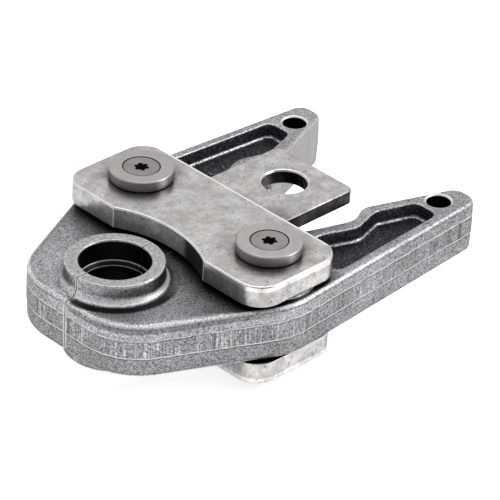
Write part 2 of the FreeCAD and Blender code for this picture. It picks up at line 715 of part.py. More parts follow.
def make_disc(label, y_word, turned):
    """Retaining disc, countersunk for the screw's head."""
    body = new_body(label)
    profile = new_sketch(body, "DiscProfile", plane="XZ_Plane")
    outline(profile, [
        ("thread_hole_radius", None, None),
        ("disc_face_radius", None, None),
        ("disc_radius", "disc_bevel", None),
        ("disc_radius", "disc_shoulder_z", None),
        ("disc_face_radius", "disc_thickness", None),
        ("head_hole_radius", "disc_thickness", None),
        ("head_hole_radius", "sink_rim_z", None),
        ("thread_hole_radius", "sink_foot_z", None),
    ])
    revolved(body, "Disc", profile)
    seat(body, y_word, "strap_outer_z", turned)
    return body


def make_screw(label, y_word, turned):
    """Countersunk screw with a six-lobed socket; its thread is left plain."""
    body = new_body(label)
    profile = new_sketch(body, "ScrewProfile", plane="XZ_Plane")
    outline(profile, [
        (None, "screw_end_z", None),
        ("screw_tip_radius", "screw_end_z", None),
        ("thread_radius", "screw_tip_z", None),
        ("thread_radius", "cone_foot_z", None),
        ("head_radius", "head_rim_z", None),
        ("head_radius", "head_top_z", None),
        (None, "head_top_z", None),
    ])
    revolved(body, "Screw", profile)
    core = new_sketch(body, "SocketCore", lift="head_top_z")
    circle(core, "socket_core_radius")
    pocket(body, "Socket", core, "socket_depth")
    lobe = new_sketch(body, "SocketLobe", lift="head_top_z")
    circle(lobe, "lobe_radius", "lobe_place")
    cut = pocket(body, "Lobe", lobe, "socket_depth")
    ring = body.newObject("PartDesign::PolarPattern", "Lobes")
    ring.Originals = [cut]
    ring.Axis = (core, ["N_Axis"])
    ring.Angle = 360
    ring.Occurrences = 6
    body.Tip = ring
    doc.recompute()
    seat(body, y_word, "strap_outer_z", turned)
    return body


def make_spring(label):
    """Compression spring across the tong, from one lever's seat to the other's."""
    body = new_body(label)
    wire = new_sketch(body, "WireCircle", plane="XZ_Plane")
    circle(wire, "wire_radius", "spring_radius")
    coil = body.newObject("PartDesign::AdditiveHelix", "Coil")
    coil.Profile = wire
    coil.ReferenceAxis = (wire, ["V_Axis"])
    coil.Mode = "pitch-turns-angle"
    bind(coil, "Pitch", "spring_pitch")
    bind(coil, "Turns", "spring_turns")
    doc.recompute()
    body.Placement.Rotation = FreeCAD.Rotation(FreeCAD.Vector(1, 0, 0), -90)
    bind(body, ".Placement.Base.x", "spring_x")
    bind(body, ".Placement.Base.y", "-spring_half")
    doc.recompute()
    return body


def turn_over(body):
    """Half a turn about the X axis."""
    body.Placement.Rotation = FreeCAD.Rotation(FreeCAD.Vector(1, 0, 0), 180)
    doc.recompute()


def seat(body, y_word, z_word=None, turned=False):
    """Stand a turned piece on a pivot axis, at the named height above or below the middle plane."""
    bind(body, ".Placement.Base.x", "pivot_x")
    bind(body, ".Placement.Base.y", y_word)
    if z_word:
        bind(body, ".Placement.Base.z", "-" + z_word if turned else z_word)
    if turned:
        body.Placement.Rotation = FreeCAD.Rotation(FreeCAD.Vector(1, 0, 0), 180)
    doc.recompute()


def make_all():
    pieces = [
        make_jaw("left_jaw", True),
        mirror_across(make_jaw("plain_jaw", False), "right_jaw"),
        make_strap("upper_strap_plate", False),
        make_strap("lower_strap_plate", True),
        make_spring("closing_spring"),
    ]
    for side, y_word in (("left", "pivot_y"), ("right", "-pivot_y")):
        pieces.append(make_pin(f"{side}_pivot_pin", y_word))
        for end, turned in (("upper", False), ("lower", True)):
            pieces.append(make_disc(f"{end}_{side}_disc", y_word, turned))
            pieces.append(make_screw(f"{end}_{side}_screw", y_word, turned))
    return pieces


def check(pieces):
    """Stop if any object failed or any piece is not one valid solid."""
    for item in doc.Objects:
        if "Invalid" in item.State or "Error" in item.State:
            raise RuntimeError(f"{item.Label} failed: {item.getStatusString()}")
    for piece in pieces:
        shape = piece.Shape
        if shape.isNull() or not shape.isValid() or len(shape.Solids) != 1:
            raise RuntimeError(f"{piece.Label} is not one valid solid")


def export(pieces):
    os.makedirs("parts", exist_ok=True)
    for piece in pieces:
        piece.Shape.exportStep(f"parts/{piece.Label}.step")
        print(piece.Label, round(piece.Shape.Volume, 1))


def main():
    pieces = make_all()
    doc.recompute()
    check(pieces)
    export(pieces)


if __name__ == "__main__":
    main()
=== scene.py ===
import json
import math

import bpy
import numpy as np
from mathutils import Matrix, Vector


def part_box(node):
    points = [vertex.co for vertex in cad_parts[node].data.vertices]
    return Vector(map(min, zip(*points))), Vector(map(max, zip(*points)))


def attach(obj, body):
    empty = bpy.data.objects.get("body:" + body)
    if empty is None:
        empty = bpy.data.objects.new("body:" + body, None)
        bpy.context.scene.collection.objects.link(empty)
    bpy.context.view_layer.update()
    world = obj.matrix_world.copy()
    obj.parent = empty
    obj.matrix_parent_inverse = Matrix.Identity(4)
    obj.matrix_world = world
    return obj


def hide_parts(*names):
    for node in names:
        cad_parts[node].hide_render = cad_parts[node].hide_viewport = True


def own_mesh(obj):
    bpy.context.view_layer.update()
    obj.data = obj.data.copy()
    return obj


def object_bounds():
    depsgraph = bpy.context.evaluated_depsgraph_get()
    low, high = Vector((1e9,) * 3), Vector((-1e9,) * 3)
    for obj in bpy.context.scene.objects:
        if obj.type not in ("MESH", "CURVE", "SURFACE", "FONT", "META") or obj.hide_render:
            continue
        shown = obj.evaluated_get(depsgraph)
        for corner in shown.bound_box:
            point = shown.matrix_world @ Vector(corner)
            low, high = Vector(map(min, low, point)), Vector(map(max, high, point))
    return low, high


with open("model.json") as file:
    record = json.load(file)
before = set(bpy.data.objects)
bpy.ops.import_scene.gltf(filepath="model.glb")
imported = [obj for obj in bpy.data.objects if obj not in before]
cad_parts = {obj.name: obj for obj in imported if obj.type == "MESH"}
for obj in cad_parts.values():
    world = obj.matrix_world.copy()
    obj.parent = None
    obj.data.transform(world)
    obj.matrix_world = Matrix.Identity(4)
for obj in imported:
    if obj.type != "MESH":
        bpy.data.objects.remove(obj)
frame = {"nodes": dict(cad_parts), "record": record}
cad_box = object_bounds()
record = frame["record"]
MM = 0.001


def named(rows, name):
    """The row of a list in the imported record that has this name."""
    return next(row for row in rows if row["name"] == name)


def in_mm(place):
    return [length / MM for length in place]


# Places on the part, in millimetres. The right lever mirrors the left one, and the
# lower plate the upper one

PIVOT_X, PIVOT_Y, _ = in_mm(named(record["behaviour"]["joints"], "left_jaw_pivot")["pos_m"])
FLOOR_Z, DISC_FACE_Z = (in_mm(corner)[2] for corner in cad_box)

LEVER_TOP_Z, LEVER_BOTTOM_Z = 8.5, -9.4
LEVER_MIDDLE_Z = (LEVER_TOP_Z + LEVER_BOTTOM_Z) / 2
HALF_LEVER = (LEVER_TOP_Z - LEVER_BOTTOM_Z) / 2
EDGE_ROUND = 1.6
SHOULDER_FOOT = HALF_LEVER - EDGE_ROUND
BAND_TOP, BAND_FOOT = 3.6, -2.6
CAM_CREST_X = PIVOT_X + 50.5
ARM_HOLE = named(record["mounts"], "left_arm_hole")
ARM_HOLE_X, ARM_HOLE_Y, _ = in_mm(ARM_HOLE["pos_m"])
ARM_HOLE_RADIUS = ARM_HOLE["dims"]["r_mm"]
POCKET_FLOOR_Z = LEVER_TOP_Z - 4.75
POCKET_FRONT_X, POCKET_REAR_X = PIVOT_X + 17.5, ARM_HOLE_X - 6.1
POCKET_LINE_START, POCKET_LINE = (-14.0, 32.0, 0.0), (42.0, -3.5, 0.0)

RING_X = in_mm(named(record["mounts"], "press_contour")["pos_m"])[0]
RING_FACE_Z = 15.0
RING_RADIUS = 15.4
RING_FOOT_RADIUS = RING_RADIUS + 2.8
BEAD_RADIUS = 12.3
RIB_OUTSIDE_Z, RIB_CREST_Z = 8.0, 6.6
RIB_RADIUS = 10.1
NOSE_X = RING_X - 20.0

CROSSBAR_FRONT_X, CROSSBAR_REAR_X = PIVOT_X - 19.2, PIVOT_X + 16.4
CROSSBAR_END = 44.1
CROSSBAR_FACE_Z, TAIL_FACE_Z = 17.15, 14.85
HOLLOW_SIDE = 20.07
TOOL_HOLE_RADIUS = named(record["mounts"], "tool_pin_bore")["dims"]["r_mm"]
TOOL_HOLE_BEVEL = 0.5
DISC_RADIUS = 10.2
SCREW_HEAD_RADIUS = 5.75
SOCKET_RADIUS = 2.5


# Camera

CAMERA_AZIMUTH, CAMERA_ELEVATION, CAMERA_ROLL = -45.586, 31.836, 2.865  # degrees
CAMERA_TARGET = (-19.328, -5.322, 0.0)
CAMERA_DISTANCE = 1084.745
CAMERA_LENS, CAMERA_SENSOR = 252.0, 36.0


def towards_camera():
    azimuth, elevation = math.radians(CAMERA_AZIMUTH), math.radians(CAMERA_ELEVATION)
    return Vector((
        math.sin(azimuth) * math.cos(elevation),
        -math.cos(azimuth) * math.cos(elevation),
        math.sin(elevation),
    ))


def place_camera():
    azimuth, roll = math.radians(CAMERA_AZIMUTH), math.radians(CAMERA_ROLL)
    back = towards_camera()
    level = Vector((math.cos(azimuth), math.sin(azimuth), 0.0))
    up = back.cross(level)
    x_axis = level * math.cos(roll) + up * math.sin(roll)
    y_axis = up * math.cos(roll) - level * math.sin(roll)
    data = bpy.data.cameras.new("camera")
    data.lens = CAMERA_LENS
    data.sensor_width = CAMERA_SENSOR
    data.clip_end = 20.0
    camera = bpy.data.objects.new("camera", data)
    bpy.context.scene.collection.objects.link(camera)
    matrix = Matrix((x_axis, y_axis, back)).transposed().to_4x4()
    matrix.translation = (Vector(CAMERA_TARGET) + back * CAMERA_DISTANCE) * MM
    camera.matrix_world = matrix
    bpy.context.scene.camera = camera


# Nodes

class Value:
    """A socket in a node tree. An expression on numbers adds their Math nodes."""

    def __init__(self, nodes, socket):
        self.nodes = nodes
        self.socket = socket

    def __add__(self, other):
        return self.nodes.math("ADD", self, other)

    def __sub__(self, other):
        return self.nodes.math("SUBTRACT", self, other)

    def __rsub__(self, other):
        return self.nodes.math("SUBTRACT", other, self)

    def __mul__(self, other):
        return self.nodes.math("MULTIPLY", self, other)

    def __or__(self, other):
        """The larger of the two: where one mask or the other is."""
        return self.nodes.math("MAXIMUM", self, other)

    def __abs__(self):
        return self.nodes.math("ABSOLUTE", self)

    __radd__ = __add__
    __rmul__ = __mul__


class Nodes:
    """A node tree, and the one method that adds a node to it."""

    def __init__(self, tree):
        self.tree = tree

    def feed(self, socket, value):
        if isinstance(value, Value):
            self.tree.links.new(value.socket, socket)
        elif isinstance(value, tuple) and len(socket.default_value) > len(value):
            socket.default_value = (*value, 1.0)
        else:
            socket.default_value = value

    def node(self, kind, settings, sockets, output=0):
        """A node of this kind: its settings first, then the values or links of its sockets."""
        node = self.tree.nodes.new(kind)
        for name, setting in settings.items():
            setattr(node, name, setting)
        for key, value in sockets.items():
            self.feed(node.inputs[key], value)
        return Value(self, node.outputs[output])

    def math(self, operation, *values):
        return self.node("ShaderNodeMath", {"operation": operation}, dict(enumerate(values)))

    def vector(self, operation, *values, output="Vector"):
        settings = {"operation": operation}
        return self.node("ShaderNodeVectorMath", settings, dict(enumerate(values)), output)

    def dot(self, a, b):
        return self.vector("DOT_PRODUCT", a, b, output="Value")

    def split(self, vector):
        """The three numbers of a vector."""
        first = self.node("ShaderNodeSeparateXYZ", {}, {0: vector})
        return [Value(self, socket) for socket in first.socket.node.outputs]

    def join(self, x, y, z):
        return self.node("ShaderNodeCombineXYZ", {}, {0: x, 1: y, 2: z})

    def ramp(self, value, low, high, to_low, to_high, kind):
        return self.node("ShaderNodeMapRange", {"interpolation_type": kind}, {
            "Value": value, "From Min": low, "From Max": high,
            "To Min": to_low, "To Max": to_high,
        })

    def grade(self, value, low, high, to_low=0.0, to_high=1.0):
        """A straight run from to_low at low to to_high at high, level beyond them."""
        return self.ramp(value, low, high, to_low, to_high, "LINEAR")

    def step(self, value, start, end, to_start=0.0, to_end=1.0):
        """A smooth step from to_start at start to to_end at end, which may be the lower one."""
        if start > end:
            start, end, to_start, to_end = end, start, to_end, to_start
        return self.ramp(value, start, end, to_start, to_end, "SMOOTHSTEP")

    def within(self, value, low, high, soft):
        """One from low to high, with ends as soft as soft."""
        return self.step(value, low - soft, low + soft) * self.step(value, high + soft, high - soft)

    def line(self, value, at, half_width):
        """One where value is at, none where it is half_width off."""
        return self.step(abs(value - at), half_width, 0.0)


class Look(Nodes):
    """A material and the nodes that it is made of.

    A mask is one where its feature is and none elsewhere.
    """

    def __init__(self, name):
        self.material = bpy.data.materials.new(name)
        self.material.use_nodes = True
        super().__init__(self.material.node_tree)
        self.tree.nodes.clear()
        output = self.tree.nodes.new("ShaderNodeOutputMaterial")
        self.shader = self.tree.nodes.new("ShaderNodeBsdfPrincipled")
        self.tree.links.new(self.shader.outputs["BSDF"], output.inputs["Surface"])
        place = self.node("ShaderNodeTexCoord", {}, {}, "Object")
        self.place = self.scale(place, 1 / MM)
        self.x, self.y, self.z = self.split(self.place)
        self.side = abs(self.y)
        self.true_normal = self.node("ShaderNodeNewGeometry", {}, {}, "True Normal")
        self.smooth_normal = self.node("ShaderNodeTexCoord", {}, {}, "Normal")
        self.nz = self.split(self.true_normal)[2]
        self.upright = self.step(abs(self.nz), 0.35, 0.2)

    def distance(self, x, side):
        """How far off, seen from above, the upright line at x and at side on either side is."""
        off = self.join(self.x - x, self.side - side, 0.0)
        return self.vector("LENGTH", off, output="Value")

    def noise(self, scale, detail, roughness, stretch=1.0, shift=0.0, at=None):
        """Noise with scale features per millimetre, upright streaks where stretch is small."""
        settings = (1.0, 1.0, stretch), (shift, shift, shift)
        where = self.vector("MULTIPLY_ADD", at or self.place, *settings)
        return self.node("ShaderNodeTexNoise", {}, {
            "Vector": where, "Scale": scale, "Detail": detail, "Roughness": roughness,
        })

    def blend(self, amount, a, b):
        """Colour a where amount is none, colour b where it is one."""
        return self.node("ShaderNodeMix", {"data_type": "RGBA"}, {0: amount, 6: a, 7: b}, 2)

    def level(self, amount, none, full):
        """The number none where amount is none, full where it is one."""
        return self.node("ShaderNodeMix", {}, {0: amount, 2: none, 3: full})

    def scale(self, vector, factor):
        settings = {"operation": "SCALE"}
        return self.node("ShaderNodeVectorMath", settings, {0: vector, 3: factor}, "Vector")

    def tint(self, colour, amount, factor):
        """The colour times factor where amount is one, unchanged where it is none."""
        return self.scale(colour, self.level(amount, 1.0, factor))

    def rounded(self, radius):
        """The normal of a surface whose edges are rounded off by radius millimetres."""
        return self.node("ShaderNodeBevel", {"samples": 8}, {"Radius": radius * MM})

    def edges(self, radius, low=0.012, high=0.07):
        """One where the surface turns within radius of a sharp edge."""
        alike = self.dot(self.rounded(radius), self.true_normal)
        return self.step(1.0 - alike, low, high)

    def openness(self, distance, low=0.35, high=0.9):
        """None where other surfaces stand within distance, one in the open."""
        sockets = {"Distance": distance * MM}
        seen = self.node("ShaderNodeAmbientOcclusion", {"samples": 6}, sockets, "AO")
        return self.grade(seen, low, high)

    def bump(self, relief, height, normal=None):
        """The normal of a relief whose one is height millimetres high."""
        sockets = {"Strength": 1.0, "Distance": height * MM, "Height": relief}
        if normal:
            sockets["Normal"] = normal
        return self.node("ShaderNodeBump", {}, sockets)

    def finish(self, colour, roughness, normal=None, metallic=1.0):
        self.feed(self.shader.inputs["Base Color"], colour)
        self.feed(self.shader.inputs["Roughness"], roughness)
        self.feed(self.shader.inputs["Metallic"], metallic)
        self.shader.inputs["Specular Tint"].default_value = (0.6, 0.6, 0.6, 1.0)
        if normal:
            self.feed(self.shader.inputs["Normal"], normal)
        return self.material


# Levers

class ForgedLook(Look):
    """The levers: shot-blasted forging, dark in its pockets partly as painted shade, with painted
    highlights on its edges.
    """

    # The colour of the painted highlights
    HIGHLIGHT_COLOUR = (0.97, 0.96, 0.98)

    def __init__(self):
        super().__init__("forged_steel")
        fine = self.noise(3.2, 2.0, 0.6)
        self.coarse = self.noise(1.4, 2.0, 0.55, shift=31.0)
        self.grain = 0.6 * fine + 0.4 * self.coarse
        self.specks = self.grade(self.grain, 0.39, 0.6)
        self.upward = self.step(self.nz, 0.7, 0.97)
        self.near_lever = self.step(self.y, 0.4, -2.0)
        self.from_ring = self.distance(RING_X, 0.0)
        self.from_hole = self.distance(ARM_HOLE_X, ARM_HOLE_Y)
        self.out_x, out_y, _ = self.split(self.smooth_normal)
        self.outward = out_y * self.math("SIGN", self.y)
        self.mask_pocket()
        self.mask_flank()
        self.mask_holes()

    def mask_pocket(self):
        """The arm's pocket: its floor, and walls that face the pocket's own middle line."""
        here = self.join(self.x, self.side, 0.0)
        reached = self.dot(self.vector("SUBTRACT", here, POCKET_LINE_START), POCKET_LINE)
        share = self.grade(reached, 0.0, POCKET_LINE[0] ** 2 + POCKET_LINE[1] ** 2)
        nearest = self.vector("ADD", self.scale(POCKET_LINE, share), POCKET_LINE_START)
        towards = self.vector("SUBTRACT", nearest, here)
        facing = self.dot(towards, self.join(self.out_x, self.outward, 0.0))
        below_rim = self.step(self.z, LEVER_TOP_Z - 0.2, LEVER_TOP_Z - 0.8)
        walls = self.step(facing, 0.1, 0.6) * below_rim
        low = self.step(self.z, POCKET_FLOOR_Z + 1.85, POCKET_FLOOR_Z + 1.25)
        self.pocket_floor = low * self.step(self.nz, 0.5, 0.7)
        behind_hub = self.within(self.x, POCKET_FRONT_X - 1.75, POCKET_REAR_X + 0.45, 0.3)
        above_floor = self.step(self.z, POCKET_FLOOR_Z - 0.55, POCKET_FLOOR_Z - 0.15)
        self.behind_hub = behind_hub * above_floor
        self.pocket = self.behind_hub * (self.pocket_floor | walls)

    def mask_flank(self):
        """The machined roller track on the arm's inner side, and the other upright sides."""
        sides = self.upright * (1 - self.pocket)
        on_arm = self.step(self.x, CAM_CREST_X - 2.25, CAM_CREST_X - 0.25)
        self.track = on_arm * self.step(self.outward, -0.3, -0.6) * sides
        self.flank = sides * (1 - self.track)

    def mask_holes(self):
        """The ring's ground face, its bore with the pressing ribs, and the arm's hole."""
        self.ground = self.step(self.z, RING_FACE_Z - 0.4, RING_FACE_Z - 0.1) * self.upward
        self.bore = self.step(self.from_ring, BEAD_RADIUS + 1.3, BEAD_RADIUS + 0.6)
        self.bore = self.bore * self.step(self.z, RING_FACE_Z - 0.4, RING_FACE_Z - 1.0)
        # The ribs' edges, which get a painted highlight
        outside = self.line(self.z, RIB_OUTSIDE_Z - 0.05, 0.28)
        crest = self.line(self.z, RIB_CREST_Z - 0.05, 0.22)
        on_rib = self.step(self.from_ring, RIB_RADIUS + 1.5, RIB_RADIUS + 1.2)
        self.rib_edges = self.bore * on_rib * (outside | crest)
        inside = self.step(self.from_hole, ARM_HOLE_RADIUS + 0.3, ARM_HOLE_RADIUS + 0.1)
        self.hole = inside * self.within(self.z, LEVER_BOTTOM_Z + 0.5, LEVER_TOP_Z - 0.5, 0.2)
        # The rim round the arm's hole, which gets a painted highlight
        rim = self.within(self.from_hole, ARM_HOLE_RADIUS + 0.05, ARM_HOLE_RADIUS + 0.6, 0.1)
        self.hole_rim = rim * self.step(self.z, LEVER_TOP_Z - 0.8, LEVER_TOP_Z - 0.5)

    def base(self):
        """The blasted surface, with painted shade on its tops and flanks, darker on the ring's
        wall, and painted shade on the tops before and under the cross plates.
        """
        broad = self.noise(0.09, 3.0, 0.5, shift=7.0)
        colour = self.blend(self.specks, (0.1, 0.098, 0.108), (0.64, 0.63, 0.652))
        colour = self.scale(colour, self.grade(broad, 0.3, 0.7, 0.82, 1.14))
        # Painted shade: tops and upright flanks are darkened by their own factors, the flanks more
        # towards the arms
        colour = self.tint(colour, self.upward, self.step(self.x, 0.0, 44.0, 0.84, 0.88))
        colour = self.tint(colour, self.flank, self.step(self.x, -30.0, 44.0, 0.74, 0.56))
        # Painted shade on the lever tops just before and under the cross plates
        near_plate = self.step(self.x + 0.15 * self.side, -71.0, -50.0)
        near_plate = near_plate * self.step(self.x, -16.0, -20.0)
        crossbar_shade = near_plate * self.upward * self.step(self.z, LEVER_TOP_Z + 2.0, LEVER_TOP_Z + 1.0)
        colour = self.tint(colour, crossbar_shade, 0.6)
        near_top = self.upward * self.near_lever * self.step(self.x, -30.0, -42.0)
        colour = self.tint(colour, near_top, 0.8)
        ring_wall = self.upright * self.step(self.from_ring, RING_RADIUS + 1.6, RING_RADIUS + 0.6)
        ring_wall = ring_wall * self.step(self.z, LEVER_TOP_Z + 1.0, LEVER_TOP_Z + 2.0)
        return self.tint(colour, ring_wall, 0.85)

    def add_trim_band(self, colour):
        """The band where the forging was trimmed: upright shear marks between two lines, which get
        a painted highlight with painted shade just below each.
        """
        wander = self.grade(self.noise(0.25, 2.0, 0.5, shift=11.0), 0.3, 0.7, -0.2, 0.2)
        height = self.z + wander
        band = self.within(height, BAND_FOOT, BAND_TOP, 0.12) * self.flank
        below = self.step(height, BAND_FOOT, BAND_FOOT - 0.3) * self.flank
        bold = band * self.step(self.x, 5.0, -50.0, 0.5, 1.0)
        marks = self.line(self.noise(0.85, 0.5, 0.5, stretch=0.02, shift=3.0), 0.5, 0.05)
        streaks = self.step(self.noise(0.35, 2.0, 0.6, stretch=0.03, shift=17.0), 0.4, 0.34)
        lines = self.line(height, BAND_TOP, 0.32) | self.line(height, BAND_FOOT, 0.32)
        lines = lines * self.flank
        # Painted shade in a thin line just below each of the band's lines
        undercut = self.line(height, BAND_TOP - 0.5, 0.3) | self.line(height, BAND_FOOT - 0.5, 0.3)
        colour = self.tint(colour, below, self.step(self.x, -40.0, 20.0, 0.76, 1.06))
        colour = self.tint(colour, bold, self.level(marks, 0.72, 1.35))
        colour = self.tint(colour, band * streaks, 0.6)
        colour = self.tint(colour, undercut * self.flank, 0.6)
        self.band_relief = bold * marks * 0.8 + lines * 1.6
        # Painted highlight on the band's two lines
        return self.blend(lines * 0.75, colour, (0.74, 0.73, 0.74))

    def add_shoulder(self, colour):
        """The rounded edge over the flank: a painted highlight at its crest, painted shade below.
        """
        rounding = self.step(abs(self.nz), 0.1, 0.2) * self.step(abs(self.nz), 0.98, 0.94)
        off_ring = self.step(self.from_ring, RING_FOOT_RADIUS + 0.1, RING_FOOT_RADIUS + 0.7)
        off_hole = self.step(self.from_hole, ARM_HOLE_RADIUS + 0.6, ARM_HOLE_RADIUS + 0.9)
        shoulder = rounding * off_ring * off_hole * (1 - self.pocket)
        from_middle = abs(self.z - LEVER_MIDDLE_Z)
        crest = self.within(from_middle, HALF_LEVER - 0.8, HALF_LEVER - 0.09, 0.12) * shoulder
        self.crest = crest * self.step(self.x, -20.0, 25.0, 0.6, 0.14)
        under = self.within(from_middle, SHOULDER_FOOT, SHOULDER_FOOT + 0.55, 0.12) * shoulder
        below = self.within(self.z, SHOULDER_FOOT - 1.5, SHOULDER_FOOT - 0.3, 0.3) * self.flank
        below = below * self.step(self.x, -40.0, -55.0) * self.near_lever
        # Painted shade under the crest, then a painted highlight on the crest
        colour = self.tint(colour, under, 0.52)
        colour = self.tint(colour, below, 0.5)
        return self.blend(self.crest * self.grade(self.grain, 0.34, 0.52), colour, self.HIGHLIGHT_COLOUR)

    def add_closing_faces(self, colour):
        """The ground faces where the levers meet, lightened as painted light so their gap shows
        little shade, and a painted highlight along the seam at the nose.
        """
        self.closing = self.step(self.side, 0.3, 0.2) * (1 - self.ground)
        at_nose = self.step(self.x, NOSE_X + 7.35, NOSE_X + 5.35)
        self.seam_highlight = self.step(self.side, 0.75, 0.45) * self.upright * at_nose
        # Painted highlight along the nose's seam, then painted light on the closing faces
        colour = self.blend(self.seam_highlight * 0.8, colour, (0.72, 0.71, 0.72))
        return self.blend(self.closing, colour, (0.62, 0.61, 0.61))

    def add_ring_foot(self, colour):
        """The round at the ring's foot: a painted highlight on it, with painted shade or a faint
        painted highlight line beside it.
        """
        # Painted highlight on the foot's round
        crest = self.within(self.from_ring, RING_RADIUS + 0.22, RING_RADIUS + 1.3, 0.2)
        crest = crest * self.within(self.z, LEVER_TOP_Z + 0.4, LEVER_TOP_Z + 2.1, 0.25)
        self.foot_highlight = crest * self.step(self.y, 6.0, -6.0, 0.15, 0.9)
        shade = self.within(self.from_ring, RING_RADIUS + 1.6, RING_RADIUS + 4.5, 0.5)
        shade = shade * self.within(self.z, LEVER_TOP_Z - 0.4, LEVER_TOP_Z + 1.1, 0.3)
        shade = shade * self.near_lever * self.step(self.x, -57.0, -68.0, 0.3, 1.0)
        # A faint painted highlight line where the round ends, on the far lever
        foot_edge_highlight = self.line(self.from_ring, RING_FOOT_RADIUS + 1.0, 0.4) * self.upward
        foot_edge_highlight = foot_edge_highlight * self.step(self.z, LEVER_TOP_Z + 0.5, LEVER_TOP_Z + 0.2)
        foot_edge_highlight = foot_edge_highlight * (1 - self.near_lever)
        colour = self.tint(colour, shade, 0.08)
        painted_highlight = self.foot_highlight * self.grade(self.grain, 0.32, 0.48)
        colour = self.blend(painted_highlight, colour, self.HIGHLIGHT_COLOUR)
        return self.blend(foot_edge_highlight * 0.16, colour, (0.7, 0.69, 0.7))

    def add_track(self, colour):
        marks = self.noise(1.6, 2.0, 0.6, stretch=0.06, shift=23.0)
        cut = self.blend(self.grade(marks, 0.3, 0.7), (0.26, 0.25, 0.26), (0.34, 0.33, 0.34))
        return self.blend(self.track, colour, cut)

    def add_pocket(self, colour):
        """Nearly black, partly its own dark scale and partly painted shade, the walls lighter than
        the floor, with a painted highlight along the foot of the walls.
        """
        specks = self.grade(self.grain, 0.48, 0.66)
        dark = self.blend(specks, (0.03, 0.029, 0.036), (0.3, 0.29, 0.32))
        # Walls lighter than the floor; the dark is partly the pocket's own scale, partly painted
        # shade
        dark = self.scale(dark, self.level(self.pocket_floor, 1.7, 0.6))
        # Painted highlight along the foot of the walls
        foot = self.step(self.z, POCKET_FLOOR_Z + 1.55, POCKET_FLOOR_Z + 1.15)
        foot = foot * self.within(self.nz, 0.35, 0.86, 0.08) * self.pocket
        dark = self.blend(foot * self.grade(self.coarse, 0.3, 0.6), dark, (0.5, 0.49, 0.51))
        return self.blend(self.pocket, colour, dark)

    def add_ring(self, colour):
        """The ring's face, split by the closing line with a painted highlight beside it, and its
        bore painted dark as shade, darkest deep down, with painted highlights on the ribs' edges.
        """
        grain = self.grade(self.noise(0.9, 3.0, 0.65, shift=5.0), 0.36, 0.64)
        face = self.blend(grain, (0.25, 0.239, 0.233), (0.5, 0.488, 0.476))
        split = self.step(self.side, 0.26, 0.16) * self.ground
        split_rim = self.within(self.side, 0.34, 0.6, 0.08) * self.ground
        # Painted shade in the bore, darkest deep down
        deep = self.step(self.z, RIB_OUTSIDE_Z + 1.0, RIB_OUTSIDE_Z - 2.0)
        bore = self.blend(deep, (0.036, 0.036, 0.042), (0.009, 0.009, 0.01))
        colour = self.blend(self.ground, colour, face)
        # Painted highlight beside the split, and on the ribs' edges below
        colour = self.blend(split_rim * 0.7, colour, (0.8, 0.79, 0.78))
        colour = self.blend(split, colour, (0.02, 0.02, 0.022))
        colour = self.blend(self.bore, colour, bore)
        return self.blend(self.rib_edges, colour, (0.9, 0.9, 0.95))

    def add_arm_hole(self, colour):
        return self.blend(self.hole, colour, (0.03, 0.03, 0.034))

    def add_shade_and_highlights(self, colour):
        """Painted shade where surfaces stand close, and painted highlights on sharp edges and round
        the arm's hole.
        """
        shaded = (1 - self.openness(4.0, 0.3, 0.85)) * (1 - self.pocket)
        patchy = self.grade(self.noise(0.7, 2.0, 0.6, shift=41.0), 0.3, 0.55)
        sharp = self.edges(0.42, 0.006, 0.04) * self.step(self.side, 0.4, 0.7)
        sharp = sharp * (patchy | self.behind_hub)
        sharp = sharp * (1 - self.hole) * (1 - self.bore) * (1 - self.pocket)
        # Painted highlights on sharp edges and on the rim of the arm's hole
        self.edge_highlights = sharp | self.hole_rim * 0.9
        colour = self.tint(colour, shaded, 0.25)
        return self.blend(self.edge_highlights * 0.85, colour, (0.92, 0.91, 0.92))

    def relief(self):
        """Grain and the band's relief on edges rounded off, widely so on the front part."""
        smooth = self.ground | self.track
        height = self.grain * self.level(smooth, 1.0, 0.2) + self.band_relief
        blurred = (1 - smooth) * self.step(self.from_ring, RING_RADIUS - 0.2, RING_RADIUS + 0.2)
        blurred = blurred * self.step(self.side, 0.4, 3.0) * self.step(self.x, -14.0, -22.0)
        return self.bump(height, 0.06, self.rounded(self.level(blurred, 0.35, 2.4)))

    def metal(self):
        """Full, and less where a painted highlight has to catch the light from every side."""
        bright = (self.crest | self.foot_highlight | self.seam_highlight) * 0.6 | self.edge_highlights * 0.3
        return 1 - (bright | self.rib_edges * 0.9 | self.closing * 0.5)


def forged_look():
    look = ForgedLook()
    colour = look.base()
    for add in (look.add_trim_band, look.add_shoulder, look.add_closing_faces, look.add_ring_foot,
                look.add_track, look.add_pocket, look.add_ring, look.add_arm_hole, look.add_shade_and_highlights):
        colour = add(colour)
    roughness = look.grade(look.specks, 0.0, 1.0, 0.46, 0.28)
    return look.finish(colour, roughness, look.relief(), look.metal())


# Cross plates

def stained_steel(look, stain, cloud, grain):
    """Bright steel, cool in places and warm in others, with stains and pits."""
    warmth = look.grade(look.noise(0.11, 3.0, 0.6, shift=35.0), 0.35, 0.65)
    pits = look.step(look.noise(0.8, 1.0, 0.4, shift=13.0), 0.32, 0.26)
    bare = look.blend(warmth, (0.6, 0.595, 0.605), (0.62, 0.597, 0.578))
    stained = look.blend(warmth, (0.4, 0.394, 0.4), (0.41, 0.382, 0.362))
    colour = look.blend(look.grade(stain, 0.4, 0.6), stained, bare)
    colour = look.scale(colour, look.grade(cloud, 0.32, 0.68, 0.85, 1.12))
    colour = look.scale(colour, look.grade(grain, 0.3, 0.7, 0.84, 1.16))
    return look.tint(colour, pits, 0.5)


